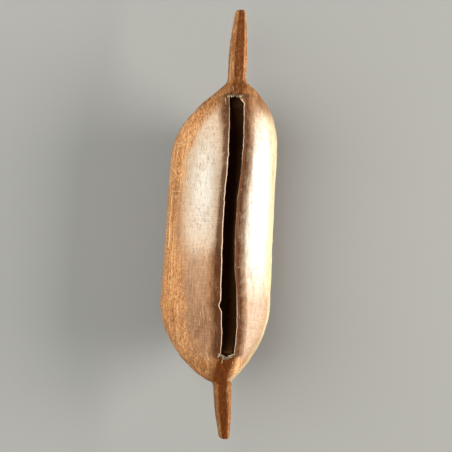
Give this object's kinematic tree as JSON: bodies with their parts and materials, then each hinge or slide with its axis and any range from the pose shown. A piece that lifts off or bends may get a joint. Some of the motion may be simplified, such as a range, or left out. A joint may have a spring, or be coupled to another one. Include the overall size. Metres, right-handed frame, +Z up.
{
  "type": "slit drum",
  "caption": "Hollow pod-shaped wooden slit drum with a long lipped slit along its top and a whittled handle at each end.",
  "frame": {"origin": "under the middle of the drum's bounding box, on the surface it lies on", "axes": "+Y along the drum towards its longer handle, +Z up out of the slit, +X to the right of someone looking along +Y"},
  "size_m": [0.183, 0.7, 0.1724],
  "materials": {
    "carved_wood": "oiled and worn, matte in the grooves"
  },
  "bodies": {
    "root": {"slit_drum": "carved_wood"}
  },
  "joints": []
}
